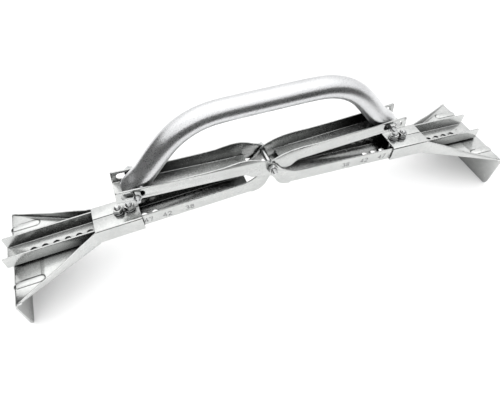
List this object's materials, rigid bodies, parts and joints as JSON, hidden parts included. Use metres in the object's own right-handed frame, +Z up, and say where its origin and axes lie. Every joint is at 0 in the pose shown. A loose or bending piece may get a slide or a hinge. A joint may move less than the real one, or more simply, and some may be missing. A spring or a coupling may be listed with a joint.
{
  "type": "hive box lifting grip",
  "caption": "Scissor-action steel lifting grip for hive boxes: two crossed channel arms, a bent tube handle and wide folded jaws that clamp as it is lifted.",
  "frame": {"origin": "on the surface the grip stands on, under the middle of its overall box", "axes": "+X from the left jaw to the right jaw, +Y away from the side where the nuts are, +Z up"},
  "size_m": [0.493, 0.101, 0.1568],
  "materials": {
    "galvanised_arm": "zinc galvanised sheet, fine spangle",
    "galvanised_jaw": "zinc galvanised sheet, fine spangle",
    "satin_tube": "satin zinc-plated tube",
    "plated_fastener": "bright zinc-plated"
  },
  "bodies": {
    "outer_arm": {"outer_arm": "galvanised_arm", "jaw_right": "galvanised_jaw", "pivot_bolt": "plated_fastener", "pivot_washer": "plated_fastener", "pivot_nut": "plated_fastener", "jaw_bolt_inner_right": "plated_fastener", "jaw_washer_inner_right": "plated_fastener", "jaw_nut_inner_right": "plated_fastener", "jaw_bolt_outer_right": "plated_fastener", "jaw_washer_outer_right": "plated_fastener", "jaw_nut_outer_right": "plated_fastener"},
    "inner_arm": {"inner_arm": "galvanised_arm", "jaw_left": "galvanised_jaw", "jaw_bolt_inner_left": "plated_fastener", "jaw_washer_inner_left": "plated_fastener", "jaw_nut_inner_left": "plated_fastener", "jaw_bolt_outer_left": "plated_fastener", "jaw_washer_outer_left": "plated_fastener", "jaw_nut_outer_left": "plated_fastener"},
    "handle": {"handle_tube": "satin_tube", "handle_bolt_left": "plated_fastener", "handle_washer_left": "plated_fastener", "handle_nut_left": "plated_fastener", "handle_bolt_right": "plated_fastener", "handle_washer_right": "plated_fastener", "handle_nut_right": "plated_fastener"}
  },
  "joints": [
    {"name": "arm_pivot", "type": "hinge", "parent": "outer_arm", "child": "inner_arm", "pos_m": [-0.00368, 0, 0.07995], "axis": [0, -1, 0], "range_deg": [0, 14]},
    {"name": "handle_pivot", "type": "hinge", "parent": "outer_arm", "child": "handle", "pos_m": [-0.12623, 0, 0.09131], "axis": [0, -1, 0], "range_deg": [0, 7.5]}
  ],
  "couplings": [
    {"joint": "handle_pivot", "follows": "arm_pivot", "ratio": 0.5146}
  ]
}
